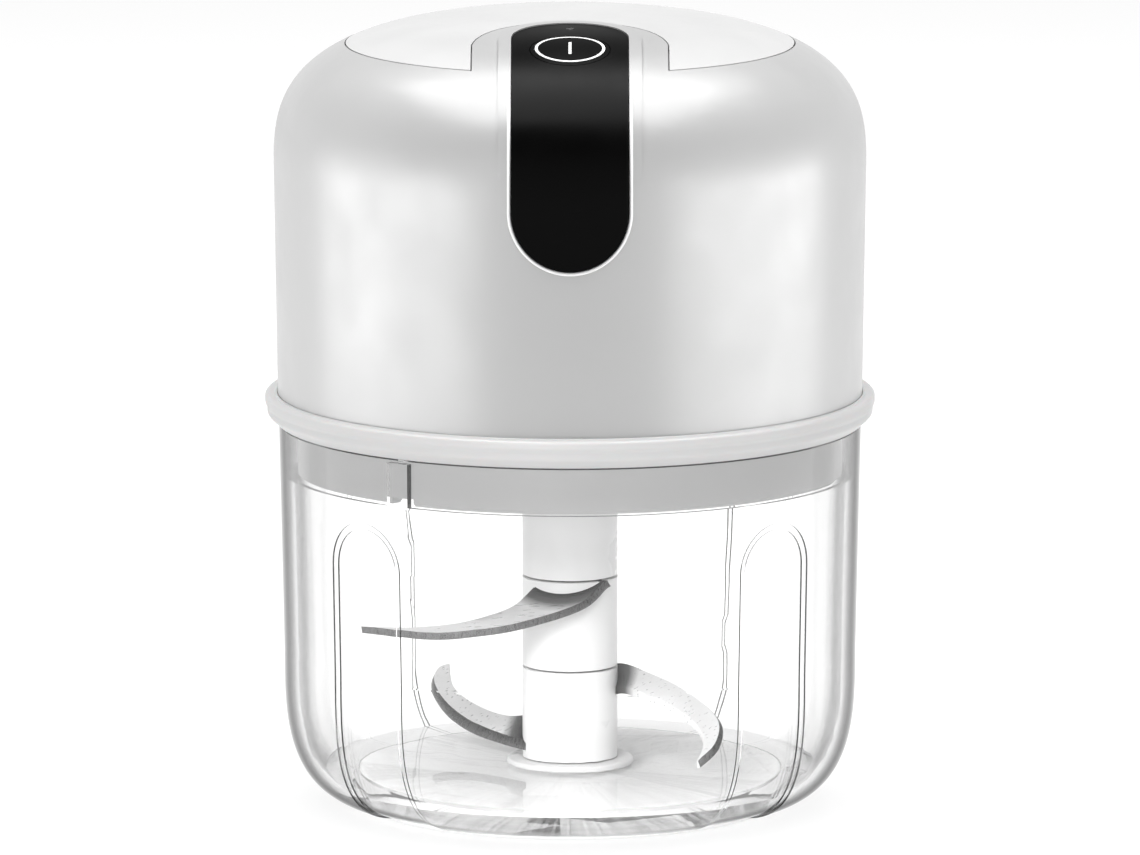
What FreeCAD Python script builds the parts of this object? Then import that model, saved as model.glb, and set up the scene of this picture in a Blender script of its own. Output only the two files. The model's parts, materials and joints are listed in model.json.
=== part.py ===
import FreeCAD, Part
import os
from math import acos, cos, hypot, pi, sin, tan, radians

# A cordless mini food chopper: a clear fluted bowl with a spinning blade unit, and a domed motor
# head that sits on it through a silicone ring. Millimetres, +Z up, origin on the table at the axis,
# -Y is the front with the button strip. Sizes below drive everything else.

os.makedirs("parts", exist_ok=True)
V = FreeCAD.Vector

# Head shell
CROWN_R = 42.35          # widest radius, where the wall turns into the crown
CROWN_Z = 92.7           # height of that place
CROWN_RISE = 21.3        # from there to the top
CROWN_P = 2.9            # superellipse powers of the crown
CROWN_Q = 2.83
SIDE_DRAFT = 0.0138      # the wall leans in towards the bottom
SHELL_LOW = 59.8
SHELL_WALL = 2.0
PLATE_R = 32.0           # top plate
PLATE_THICK = 1.0
PLATE_SEAM = 0.2
SEAM = 0.12
STRIP_HALF = 8.2         # glossy strip from the front up over the shoulder
STRIP_FRONT_Z = 91.6
STRIP_TOP_Y = -20.3
STRIP_PROUD = 0.45
STRIP_DEEP = 1.2
BEZEL_HALF = 10.1
BEZEL_RISE = 0.6
BEZEL_LOW = 96.0

# Button, on the strip, square to the crown
BUTTON_Y = -25.5
BUTTON_Z = 112.6
BUTTON_TILT = 13.0
BUTTON_R = 5.6
LED_Y = -15.5
LED_R = 0.55

# Lid floor, collar and sealing ring
SEAL_R = 43.7
SEAL_LOW = 55.4
SEAL_STEP = 57.5
SEAL_TOP = 59.6
LID_R = 42.0
COLLAR_R = 40.0
COLLAR_IN_R = 36.9
COLLAR_LOW = 48.6
RECESS_R = 38.9
RECESS_START = -113.0    # degrees from the front, positive towards +X
RECESS_SPAN = 80.0
NOTCH_SPAN = 6.0

# Bowl
BOWL_RIM_Z = 55.2
BOWL_RIM_R = 41.75
BOWL_CURVE_Z = 22.49
BOWL_CURVE_R = 41.08
BOWL_FLAT_R = 24.2
BOWL_POWER = 3.16
BOWL_WALL = 2.0
BOWL_FLOOR = 5.0
STEP_Z = 48.4
STEP_IN_R = 40.4
KEY_IN_R = 39.4
KEY_AZIMUTH = -36.6
KEY_SPAN = 5.0
FLUTE_SPAN = 18.6
FLUTE_DEEP = 0.6
FLUTE_LEDGE = 0.95       # a narrow ledge round each flute, half its depth
FLUTE_TOP = 45.5
FLUTE_AZIMUTHS = (45, 135, 225, 315)
PAD_R = 30.5
PAD_HIGH = 2.6

# Blade unit
HUB_R = 6.84
HUB_LEVELS = (6.3, 19.8, 33.0, 54.0)
HUB_GAP = 0.26
FOOT_R = 9.1
FOOT_LOW = 5.3
PIN_R = 1.5
PIN_TOP = 28.0
CORE_R = 2.6
CORE_BORE = 1.56
BLADE_THICK = 1.0
SOCKET_R = 5.0
SOCKET_LOW = 47.0

# Drive: motor, planetary gears, claw coupler
MODULE = 0.6
SUN_TEETH = 12
PLANET_TEETH = 18
RING_TEETH = 48
ORBIT_R = MODULE * (SUN_TEETH + PLANET_TEETH) / 2
GEAR_LOW = 64.0
GEAR_HIGH = 69.5
RING_OUT_R = 17.0
MOTOR_R = 13.85
MOTOR_LOW = 73.0
MOTOR_HIGH = 101.0
SHAFT_R = 2.5
ROTOR_SHAFT_R = 1.0
CLAW_R = 4.75
CLAW_CORE_R = 3.0
CLAW_SPAN = 20.0
CARRIER_R = 11.6
CARRIER_LOW = 61.8
CARRIER_TOP = 63.4
PLANET_PIN_R = 1.0
COUPLER_LOW = 50.4
COUPLER_HIGH = 53.4
RING_TOP = 71.5
EAR_R = 2.4
SMALL_SCREW_R = 0.8
SMALL_HEAD_R = 1.5
MOTOR_SCREW_Y = 8.0
TERMINAL_X = 9.0
BRUSH_LOW = 97.0
BRUSH_HIGH = 99.4
COMMUTATOR_R = 3.6
ROTOR_LOW = 79.5
ROTOR_HIGH = 93.5
SOCKET_CLAW_AT = 110.0   # from a coupler dog to the hub's rib, so that the lid can turn

# Battery, electronics and charging socket
CELL_R = 9.1
CELL_X = -27.3
CELL_LOW = 61.0
CELL_HIGH = 96.0
USB_Z = 77.4
USB_HALF = 4.5
USB_HIGH = 3.2
FLAP_HALF = 7.0
FLAP_HIGH = 9.0
FLAP_DEEP = 1.0
BOARD_LOW = 73.6
BOARD_TOP = 75.2
SWITCH_DEEP = 9.1

SCREW_AT = 33.5
BOSS_R = 3.0


def disc(radius, low, high, x=0.0, y=0.0):
    """A solid cylinder along Z."""
    return Part.makeCylinder(radius, high - low, V(x, y, low))


def tube(outer, inner, low, high, x=0.0, y=0.0):
    """A hollow cylinder along Z."""
    return disc(outer, low, high, x, y).cut(disc(inner, low, high, x, y))


def block(x0, x1, y0, y1, z0, z1):
    """A box between two corners."""
    return Part.makeBox(x1 - x0, y1 - y0, z1 - z0, V(x0, y0, z0))


def turned(profile):
    """A closed (radius, height) profile revolved about Z."""
    points = [V(r, 0, z) for r, z in profile]
    face = Part.Face(Part.makePolygon(points + points[:1]))
    return face.revolve(V(0, 0, 0), V(0, 0, 1), 360)


def prism(points, low, high):
    """A plan polygon raised between two heights."""
    corners = [V(x, y, low) for x, y in points]
    return Part.Face(Part.makePolygon(corners + corners[:1])).extrude(V(0, 0, high - low))


def spun(shape, degrees):
    """A copy turned about the Z axis."""
    turned_copy = shape.copy()
    turned_copy.rotate(V(0, 0, 0), V(0, 0, 1), degrees)
    return turned_copy


def polar(radius, azimuth):
    """A plan point, with the azimuth in degrees from the front, positive towards +X."""
    angle = radians(azimuth - 90)
    return radius * cos(angle), radius * sin(angle)


def wedge(inner, outer, start, span, low, high):
    """A ring segment, from azimuth start over span degrees."""
    solid = Part.makeCylinder(outer, high - low, V(0, 0, low), V(0, 0, 1), span)
    solid = spun(solid, start - 90)
    if inner > 0:
        solid = solid.cut(disc(inner, low, high))
    return solid


def fused(first, *others):
    """One solid from touching or overlapping pieces."""
    solid = first
    for other in others:
        solid = solid.fuse(other)
    return solid.removeSplitter()


def save(node, *shapes):
    """Writes a node's solids and prints their count and volume."""
    solids = [solid for shape in shapes for solid in shape.Solids]
    shape = solids[0] if len(solids) == 1 else Part.makeCompound(solids)
    shape.exportStep("parts/%s.step" % node)
    print("%-18s solids %2d  volume %9.1f  valid %s" % (node, len(solids), shape.Volume, shape.isValid()))


# ---- Head outer surface ----------------------------------------------------------------------

def crown_point(turn, inset):
    """A point of the crown, turn 0 at the top and pi/2 at the wall, moved in along its normal."""
    radius = CROWN_R * sin(turn) ** (2 / CROWN_P)
    rise = CROWN_RISE * max(cos(turn), 0.0) ** (2 / CROWN_Q)
    out = CROWN_P / CROWN_R * (radius / CROWN_R) ** (CROWN_P - 1)
    up = CROWN_Q / CROWN_RISE * (rise / CROWN_RISE) ** (CROWN_Q - 1)
    size = hypot(out, up)
    return V(radius - inset * out / size, 0, CROWN_Z + rise - inset * up / size)


def crown(inset, low=50.0):
    """The head's outer solid, offset inwards by inset, from the height low up."""
    steps = 16
    points = [crown_point(i * pi / 2 / steps, inset) for i in range(steps + 1)]
    curve = Part.BSplineCurve()
    curve.interpolate(Points=points, InitialTangent=V(1, 0, 0), FinalTangent=V(-SIDE_DRAFT, 0, -1))
    wall_top = points[-1]
    wall_low = V(wall_top.x - (CROWN_Z - low) * SIDE_DRAFT, 0, low)
    axis_low = V(0, 0, low)
    edges = [curve.toShape()]
    edges.append(Part.makeLine(wall_top, wall_low))
    edges.append(Part.makeLine(wall_low, axis_low))
    edges.append(Part.makeLine(axis_low, points[0]))
    return Part.Face(Part.Wire(edges)).revolve(V(0, 0, 0), V(0, 0, 1), 360)


def layer(outer_inset, inner_inset):
    """The skin between two offsets of the head's outer surface."""
    return crown(outer_inset).cut(crown(inner_inset, 49.0))


def strip_column(half):
    """The space over the strip: round-ended seen from the front and from above."""
    front = [Part.makeLine(V(-half, 0, 130), V(-half, 0, STRIP_FRONT_Z))]
    low_arc = Part.Arc(V(-half, 0, STRIP_FRONT_Z), V(0, 0, STRIP_FRONT_Z - half), V(half, 0, STRIP_FRONT_Z))
    front.append(low_arc.toShape())
    front.append(Part.makeLine(V(half, 0, STRIP_FRONT_Z), V(half, 0, 130)))
    front.append(Part.makeLine(V(half, 0, 130), V(-half, 0, 130)))
    front_solid = Part.Face(Part.Wire(front)).extrude(V(0, -60, 0))
    top = [Part.makeLine(V(-half, -60, 70), V(-half, STRIP_TOP_Y, 70))]
    top_arc = Part.Arc(V(-half, STRIP_TOP_Y, 70), V(0, STRIP_TOP_Y + half, 70), V(half, STRIP_TOP_Y, 70))
    top.append(top_arc.toShape())
    top.append(Part.makeLine(V(half, STRIP_TOP_Y, 70), V(half, -60, 70)))
    top.append(Part.makeLine(V(half, -60, 70), V(-half, -60, 70)))
    top_solid = Part.Face(Part.Wire(top)).extrude(V(0, 0, 60))
    return front_solid.common(top_solid)


def plate_column(gap):
    """The space over the top plate: a disc with an arched notch around the strip."""
    half = 14.0 + gap
    shoulder = -20.2
    arch = -8.0 + gap
    notch = [Part.makeLine(V(-half, -60, 90), V(-half, shoulder, 90))]
    notch.append(Part.Arc(V(-half, shoulder, 90), V(0, arch, 90), V(half, shoulder, 90)).toShape())
    notch.append(Part.makeLine(V(half, shoulder, 90), V(half, -60, 90)))
    notch.append(Part.makeLine(V(half, -60, 90), V(-half, -60, 90)))
    return disc(PLATE_R - gap, 90, 130).cut(Part.Face(Part.Wire(notch)).extrude(V(0, 0, 40)))


def button_axis():
    """The button's centre on the surface, and the direction out of the head."""
    tilt = radians(BUTTON_TILT)
    return V(0, BUTTON_Y, BUTTON_Z), V(0, -sin(tilt), cos(tilt))


def button_round(radius, top, bottom, side=0.0):
    """A cylinder on the button's axis between two depths, moved sideways by side."""
    centre, out = button_axis()
    base = centre - out * bottom + V(side, 0, 0)
    return Part.makeCylinder(radius, bottom - top, base, out)


def button_block(half_x, half_y, top, bottom):
    """A box on the button's axis between two depths."""
    centre = button_axis()[0]
    solid = Part.makeBox(2 * half_x, 2 * half_y, bottom - top, V(-half_x, -half_y, -bottom))
    solid.rotate(V(0, 0, 0), V(1, 0, 0), BUTTON_TILT)
    solid.translate(centre)
    return solid


def usb_slot(half, high, start, end):
    """An oblong through the back wall at the charging socket."""
    radius = high / 2
    inner = half - radius
    solid = block(-inner, inner, start, end, USB_Z - radius, USB_Z + radius)
    for x in (-inner, inner):
        solid = solid.fuse(Part.makeCylinder(radius, end - start, V(x, start, USB_Z), V(0, 1, 0)))
    return solid.removeSplitter()


def flap_window(gap):
    """The rounded rectangle of the flap, seen from the back."""
    x = FLAP_HALF + gap
    z = FLAP_HIGH / 2 + gap
    solid = block(-x, x, 30, 50, USB_Z - z, USB_Z + z)
    upright = [edge for edge in solid.Edges if abs(edge.Length - 20) < 0.01]
    return solid.makeFillet(2.0 + gap, upright)


def screw_places():
    return [polar(SCREW_AT, azimuth) for azimuth in (45, 135, 225, 315)]


def make_head_shell():
    shell = layer(0, SHELL_WALL)
    shell = shell.common(block(-50, 50, -50, 50, SHELL_LOW, 130))
    lifted = crown(0)
    lifted.translate(V(0, 0, BEZEL_RISE))
    bezel = lifted.cut(crown(0.5, 49.0)).common(strip_column(BEZEL_HALF))
    shell = shell.fuse(bezel.common(block(-20, 20, -50, 0, BEZEL_LOW, 130)))
    shell = shell.cut(layer(-2.0, PLATE_THICK + 0.05).common(plate_column(-PLATE_SEAM)))
    shell = shell.cut(layer(-2.0, STRIP_DEEP + 0.05).common(strip_column(STRIP_HALF + SEAM)))
    inside = crown(SHELL_WALL * 0.8)
    for x, y in screw_places():
        boss = disc(BOSS_R, 62.3, 112, x, y).common(inside)
        shell = shell.fuse(boss)
    for side in (-8.6, 8.6):
        shell = shell.fuse(button_round(1.5, 1.6, 6.6, side).common(inside))
    for x, y in screw_places():
        shell = shell.cut(disc(1.15, 60, 74, x, y))
    shell = shell.cut(button_round(BUTTON_R + 0.12, -3, 3.2))
    shell = shell.cut(disc(LED_R + 0.05, 108, 120, 0, LED_Y))
    pocket = layer(-2.0, FLAP_DEEP + 0.1).common(flap_window(SEAM))
    shell = shell.cut(pocket.common(block(-20, 20, 30, 50, 60, 90)))
    shell = shell.cut(usb_slot(USB_HALF + 0.5, USB_HIGH + 0.8, 36, 46))
    return shell


def make_strip():
    strip = layer(-STRIP_PROUD, STRIP_DEEP).common(strip_column(STRIP_HALF))
    strip = strip.cut(button_round(BUTTON_R + 0.12, -3, 3.2))
    return strip.cut(disc(LED_R + 0.05, 105, 120, 0, LED_Y))


def make_button():
    cap = button_round(BUTTON_R, -3, 3.4).common(crown(-STRIP_PROUD))
    flange = button_round(BUTTON_R + 1.0, 3.4, 4.0)
    stem = button_round(1.6, 4.0, 4.8)
    save("button_cap", fused(cap, flange, stem))
    save("switch_plunger", button_round(1.1, 4.8, 6.2))


def make_usb_cover():
    flap = layer(0, FLAP_DEEP).common(flap_window(0)).common(block(-20, 20, 30, 50, 60, 90))
    plug = usb_slot(USB_HALF - 0.35, USB_HIGH - 0.5, 38.6, 41.4)
    groove = block(2.6, 4.6, 41.1, 43, USB_Z - 5, USB_Z + 5)
    save("usb_cover", flap.fuse(plug).cut(groove.common(layer(-1, 0.35))))


def make_head():
    save("head_shell", make_head_shell())
    save("top_plate", layer(0, PLATE_THICK).common(plate_column(0)))
    save("strip_trim", make_strip())
    save("led_lens", disc(LED_R, 106.5, 130, 0, LED_Y).common(crown(-STRIP_PROUD)))
    make_base_cover()


# ---- Lid floor, collar and sealing ring ------------------------------------------------------

def make_base_cover():
    """The head's underside: floor plate, register inside the shell, collar with two key recesses."""
    cover = turned([
        (4.0, SEAL_STEP + 0.1), (COLLAR_IN_R, SEAL_STEP + 0.1), (COLLAR_IN_R, COLLAR_LOW + 0.4),
        (COLLAR_IN_R + 0.4, COLLAR_LOW), (COLLAR_R - 0.5, COLLAR_LOW), (COLLAR_R, COLLAR_LOW + 0.5),
        (COLLAR_R, SEAL_STEP + 0.1), (LID_R - 0.1, SEAL_STEP + 0.1), (LID_R - 0.1, SHELL_LOW),
        (39.6, SHELL_LOW), (39.6, 61.8), (38.4, 61.8), (38.4, SHELL_LOW), (4.0, SHELL_LOW)])
    for start in (RECESS_START, RECESS_START + 180):
        recess = wedge(RECESS_R, COLLAR_R + 1, start, RECESS_SPAN, COLLAR_LOW - 1, SEAL_LOW + 0.6)
        cover = cover.cut(recess)
        notch_start = start + RECESS_SPAN - NOTCH_SPAN
        notch_top = COLLAR_LOW + 0.9
        notch = wedge(COLLAR_IN_R - 1, COLLAR_R + 1, notch_start, NOTCH_SPAN, COLLAR_LOW - 1, notch_top)
        cover = cover.cut(notch)
    for x, y in screw_places():
        cover = cover.cut(disc(1.4, 57, 60, x, y)).cut(disc(2.6, 57, 58.7, x, y))
    for angle in range(3):
        x, y = polar(RING_OUT_R - 1.3 + 3.2, 60 + angle * 120)
        cover = cover.cut(disc(0.8, 57, 60, x, y)).cut(disc(1.6, 57, 58.4, x, y))
    save("base_cover", cover)
    save("base_screws", *[make_screw(x, y, 58.7, 1.15, 2.4, 1.1, 12.0) for x, y in screw_places()])
    save("output_bush", fused(tube(4.0, SHAFT_R + 0.04, 56.6, 61.4), tube(5.2, SHAFT_R + 0.04, 59.8, 60.6)))


def make_screw(x, y, seat, radius, head_radius, head_high, length):
    """A pan-head screw driven upwards: its head is below the height seat."""
    head = disc(head_radius, seat - head_high, seat, x, y)
    shank = disc(radius, seat, seat + length, x, y)
    slot_long = block(x - 1.2, x + 1.2, y - 0.25, y + 0.25, seat - head_high, seat - head_high + 0.6)
    slot_short = block(x - 0.25, x + 0.25, y - 1.2, y + 1.2, seat - head_high, seat - head_high + 0.6)
    return head.fuse(shank).cut(slot_long).cut(slot_short).removeSplitter()


def make_seal():
    """An angled silicone ring: a lip on the bowl's rim and a band around the lid floor."""
    groove_r = SEAL_R - 0.3
    save("seal_ring", turned([
        (STEP_IN_R, SEAL_LOW), (41.9, SEAL_LOW), (groove_r, SEAL_LOW + 1.4), (groove_r, SEAL_LOW + 2.4),
        (SEAL_R, SEAL_LOW + 2.9), (SEAL_R, SEAL_TOP - 0.4), (SEAL_R - 0.5, SEAL_TOP),
        (LID_R + 0.1, SEAL_TOP), (LID_R + 0.1, SEAL_STEP), (STEP_IN_R, SEAL_STEP)]))


# ---- Bowl ------------------------------------------------------------------------------------

def bowl_curve(turn, inset):
    """A point of the bowl's rounded foot, turn 0 at the wall and pi/2 at the base."""
    power = 2 / BOWL_POWER
    width = BOWL_CURVE_R - BOWL_FLAT_R
    across = max(cos(turn), 0.0)
    down = max(sin(turn), 0.0)
    out = across ** (2 - power) / width
    below = down ** (2 - power) / BOWL_CURVE_Z
    size = hypot(out, below)
    radius = BOWL_FLAT_R + width * across ** power
    height = BOWL_CURVE_Z * (1 - down ** power)
    return V(radius - inset * out / size, 0, height + inset * below / size)


def bowl_solid(inset, top, flute=0.0):
    """The bowl's outer solid, offset inwards by inset, and by flute more, which fades to the base."""
    steps = 12
    turns = [i * pi / 2 / steps for i in range(steps + 1)]
    points = [bowl_curve(turn, inset + flute * max(cos(turn), 0.0) ** 0.5) for turn in turns]
    curve = Part.BSplineCurve()
    curve.interpolate(Points=points, InitialTangent=V(0, 0, -1), FinalTangent=V(-1, 0, 0))
    wall_low = points[0]
    lean = (BOWL_RIM_R - BOWL_CURVE_R) / (BOWL_RIM_Z - BOWL_CURVE_Z)
    wall_top = V(wall_low.x + (top - wall_low.z) * lean, 0, top)
    base = V(0, 0, points[-1].z)
    edges = [Part.makeLine(wall_top, wall_low), curve.toShape()]
    edges.append(Part.makeLine(points[-1], base))
    edges.append(Part.makeLine(base, V(0, 0, top)))
    edges.append(Part.makeLine(V(0, 0, top), wall_top))
    return Part.Face(Part.Wire(edges)).revolve(V(0, 0, 0), V(0, 0, 1), 360)


def flute_window(azimuth, inset):
    """A round-topped window seen along the radius, reaching down under the bowl."""
    half = BOWL_RIM_R * sin(radians(FLUTE_SPAN / 2)) - inset
    top = FLUTE_TOP - inset
    arch = top - half
    outline = [Part.makeLine(V(-half, 0, -5), V(-half, 0, arch))]
    outline.append(Part.Arc(V(-half, 0, arch), V(0, 0, top), V(half, 0, arch)).toShape())
    outline.append(Part.makeLine(V(half, 0, arch), V(half, 0, -5)))
    outline.append(Part.makeLine(V(half, 0, -5), V(-half, 0, -5)))
    window = Part.Face(Part.Wire(outline)).extrude(V(0, -60, 0))
    return spun(window.cut(block(-20, 20, -26, 1, -6, 50)), azimuth)


def make_bowl():
    outer = bowl_solid(0, BOWL_RIM_Z)
    inner = bowl_solid(BOWL_WALL, STEP_Z)
    for depth, inset in ((FLUTE_DEEP / 2, 0.0), (FLUTE_DEEP, FLUTE_LEDGE)):
        groove = bowl_solid(0, BOWL_RIM_Z).cut(bowl_solid(0, BOWL_RIM_Z + 1, depth))
        for azimuth in FLUTE_AZIMUTHS:
            outer = outer.cut(groove.common(flute_window(azimuth, inset)))
    inner = inner.cut(disc(45, 0, BOWL_FLOOR))
    bowl = outer.cut(inner).cut(disc(STEP_IN_R, STEP_Z, BOWL_RIM_Z + 1))
    bowl = bowl.cut(disc(PAD_R + 0.1, -1, PAD_HIGH))
    bowl = bowl.fuse(disc(HUB_R - 2.2, PAD_HIGH, BOWL_FLOOR))
    for start in (KEY_AZIMUTH, KEY_AZIMUTH + 180):
        low = STEP_Z - 0.4
        key = wedge(KEY_IN_R, STEP_IN_R + 0.6, start - KEY_SPAN / 2, KEY_SPAN, low, BOWL_RIM_Z - 0.6)
        bowl = bowl.fuse(key)
    bowl = bowl.cut(disc(PIN_R, 3.6, 10)).cut(disc(3.0, 3.6, 4.4)).removeSplitter()
    save("bowl", bowl)
    save("bowl_spindle", fused(disc(3.0, 3.6, 4.4), disc(PIN_R, 3.6, PIN_TOP)))
    save("non_slip_pad", tube(PAD_R, 3.0, 0, PAD_HIGH))


# ---- Blade unit ------------------------------------------------------------------------------

def blade_outline(bulge, hollow, root):
    """A wing's plan face: a curved cutting edge, a hollow back edge, and a root inside the hub."""
    front = Part.BSplineCurve()
    front.interpolate([V(x, y, 0) for x, y in bulge])
    back = Part.BSplineCurve()
    back.interpolate([V(x, y, 0) for x, y in hollow])
    corners = [V(*hollow[-1], 0)] + [V(x, y, 0) for x, y in root] + [V(*bulge[0], 0)]
    edges = [front.toShape(), back.toShape()]
    edges += [Part.makeLine(a, b) for a, b in zip(corners, corners[1:])]
    return Part.Face(Part.Wire(Part.__sortEdges__(edges)))


def sloping_slab(height, rise_x, rise_y, thick):
    """A thin sloping plate whose middle plane is z = height + rise_x x + rise_y y."""
    size = 80.0
    normal = V(-rise_x, -rise_y, 1)
    slab = Part.makeBox(2 * size, 2 * size, thick, V(-size, -size, -thick / 2))
    slab.Placement = FreeCAD.Placement(V(0, 0, height), FreeCAD.Rotation(V(0, 0, 1), normal)).multiply(
        FreeCAD.Placement(slab.Placement))
    return slab


def make_lower_blade():
    """Two swept wings cut from one steeply pitched plate, with a round eye inside the hub."""
    right_edge = [(3.0, 4.0), (7.0, 3.0), (11.7, -2.9), (16.2, -9.5), (19.8, -16.3), (21.5, -21.3),
                  (20.6, -24.9), (17.5, -26.2)]
    right_hollow = [(17.5, -26.2), (18.7, -23.5), (18.3, -20.0), (16.2, -15.3), (12.5, -9.3), (7.5, -2.6),
                    (4.0, -1.5)]
    left_edge = [(-3.5, -3.0), (-5.9, -2.7), (-13.6, 6.7), (-18.0, 14.3), (-20.4, 21.2), (-19.9, 24.1),
                 (-17.7, 23.4)]
    left_hollow = [(-17.7, 23.4), (-17.0, 18.0), (-13.6, 11.5), (-8.9, 5.4), (-4.0, 2.0)]
    slab = sloping_slab(13.3, 0.62, 0.55, BLADE_THICK)
    blade = disc(5.4, -20, 60)
    for edge, hollow in ((right_edge, right_hollow), (left_edge, left_hollow)):
        wing = blade_outline(edge, hollow, [(0, 0)])
        wing.translate(V(0, 0, -20))
        blade = blade.fuse(wing.extrude(V(0, 0, 80)))
    return blade.common(slab).cut(disc(CORE_R, -20, 60))


def make_upper_blade():
    """A flat eye clamped in the hub, with one long wing bent down to the left."""
    edge = [(5.8, -4.2), (2.1, -8.8), (-6.6, -11.3), (-13.4, -11.7), (-20.0, -11.1), (-30.3, -7.9)]
    hollow = [(-30.3, -7.9), (-23.3, -9.3), (-16.7, -9.7), (-11.2, -8.8), (-7.7, -7.3), (-4.6, -3.6)]
    wing = blade_outline(edge, hollow, [(0, -1.5)])
    wing.translate(V(0, 0, -20))
    wing = wing.extrude(V(0, 0, 80)).common(sloping_slab(34.6, 0.129, 0.55, BLADE_THICK))
    eye = disc(5.8, 32.0, 33.0)
    return eye.fuse(wing.common(disc(60, 20, 33.0))).cut(disc(CORE_R, 0, 60))


def make_blade_unit():
    lower = make_lower_blade()
    upper = make_upper_blade()
    low, middle, high, top = HUB_LEVELS
    sections = (("hub_lower", low, middle), ("hub_middle", middle, high), ("hub_upper", high, top))
    for name, z0, z1 in sections:
        section = tube(HUB_R, CORE_R, z0 + HUB_GAP / 2, z1 - HUB_GAP / 2)
        for seam_z in (z0, z1):
            ring = tube(HUB_R + 1, HUB_R - 0.25, seam_z - 0.2, seam_z + 0.2)
            section = section.cut(ring)
        section = section.cut(lower).cut(upper)
        if name == "hub_upper":
            section = section.cut(disc(SOCKET_R, SOCKET_LOW, top)).cut(disc(CORE_R, z0, top))
            section = section.fuse(disc(SOCKET_R, SOCKET_LOW - 1.5, SOCKET_LOW))
            for side in (0, 180):
                start = SOCKET_CLAW_AT + side - CLAW_SPAN / 2
                rib = wedge(3.4, SOCKET_R + 0.5, start, CLAW_SPAN, SOCKET_LOW - 0.2, top - 0.8)
                section = section.fuse(rib)
            section = section.removeSplitter()
        save(name, section)
    foot = tube(FOOT_R, CORE_R, FOOT_LOW, FOOT_LOW + 1.0)
    rim = [edge for edge in foot.Edges if edge.BoundBox.XLength > 2 * FOOT_R - 0.1]
    save("hub_foot", foot.makeFillet(0.35, rim))
    core = disc(CORE_R, FOOT_LOW, SOCKET_LOW - 1.6).cut(disc(CORE_BORE, 0, PIN_TOP + 0.6))
    save("hub_core", core)
    save("blade_lower", lower)
    save("blade_upper", upper)


# ---- Gears, motor and coupler ----------------------------------------------------------------

def involute(angle):
    return tan(angle) - angle


def gear_outline(teeth, tip, root, slack):
    """A gear's plan polygon with involute flanks. slack thins each tooth, in millimetres."""
    pitch = MODULE * teeth / 2
    base = pitch * cos(radians(20))
    at_pitch = pi / 2 / teeth - slack / 2 / pitch
    flank = []
    steps = 4
    for i in range(steps + 1):
        radius = root + (tip - root) * i / steps
        reach = max(radius, base)
        half = at_pitch + involute(radians(20)) - involute(acos(base / reach))
        flank.append((radius, half))
    points = []
    for tooth in range(teeth):
        middle = 2 * pi * tooth / teeth
        for radius, half in flank:
            points.append((radius * cos(middle - half), radius * sin(middle - half)))
        for radius, half in reversed(flank):
            points.append((radius * cos(middle + half), radius * sin(middle + half)))
    return points


def spur(teeth, bore, low, high, turn):
    pitch = MODULE * teeth / 2
    outline = gear_outline(teeth, pitch + 0.85 * MODULE, pitch - 1.2 * MODULE, 0.12)
    solid = prism(outline, low, high)
    solid.rotate(V(0, 0, 0), V(0, 0, 1), turn)
    return solid.cut(disc(bore, low, high))


def ear_places():
    return [polar(RING_OUT_R + 1.9, azimuth) for azimuth in (60, 180, 300)]


def make_ring_gear():
    """The fixed ring, which is also the gearbox's wall, with three screw ears."""
    pitch = MODULE * RING_TEETH / 2
    teeth = gear_outline(RING_TEETH, pitch + 1.2 * MODULE, pitch - 0.75 * MODULE, -0.12)
    ring = disc(RING_OUT_R, SHELL_LOW, RING_TOP).cut(prism(teeth, GEAR_LOW - 0.3, RING_TOP + 1))
    ring = ring.cut(disc(CARRIER_R + 1.6, SHELL_LOW - 1, GEAR_LOW))
    for x, y in ear_places():
        ear = disc(EAR_R, SHELL_LOW, RING_TOP, x, y).cut(disc(RING_OUT_R - 0.3, SHELL_LOW, RING_TOP))
        ring = ring.fuse(ear).cut(disc(SMALL_SCREW_R, SHELL_LOW - 1, RING_TOP + 1, x, y))
    return ring


def make_gearbox_screws(places):
    save("gearbox_screws", *[make_screw(x, y, 58.4, SMALL_SCREW_R, 1.5, 0.7, 6.5) for x, y in places])
    lid_screws = []
    for x, y in places:
        head = disc(SMALL_HEAD_R, MOTOR_LOW, MOTOR_LOW + 0.8, x, y)
        shank = disc(SMALL_SCREW_R, RING_TOP - 4, MOTOR_LOW, x, y)
        lid_screws.append(head.fuse(shank).removeSplitter())
    save("motor_plate_screws", *lid_screws)
    motor_screws = []
    for side in (-MOTOR_SCREW_Y, MOTOR_SCREW_Y):
        head = disc(SMALL_HEAD_R, RING_TOP - 0.7, RING_TOP, 0, side)
        shank = disc(SMALL_SCREW_R, RING_TOP, RING_TOP + 2.5, 0, side)
        motor_screws.append(head.fuse(shank).removeSplitter())
    save("motor_screws", *motor_screws)


def make_motor_plate(places):
    lid = tube(RING_OUT_R, 3.6, RING_TOP, MOTOR_LOW)
    for x, y in places:
        lid = lid.fuse(disc(EAR_R, RING_TOP, MOTOR_LOW, x, y)).cut(disc(SMALL_SCREW_R, 71, MOTOR_LOW, x, y))
    for side in (-MOTOR_SCREW_Y, MOTOR_SCREW_Y):
        lid = lid.cut(disc(SMALL_SCREW_R, 71, MOTOR_LOW, 0, side))
    save("motor_plate", lid)


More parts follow.
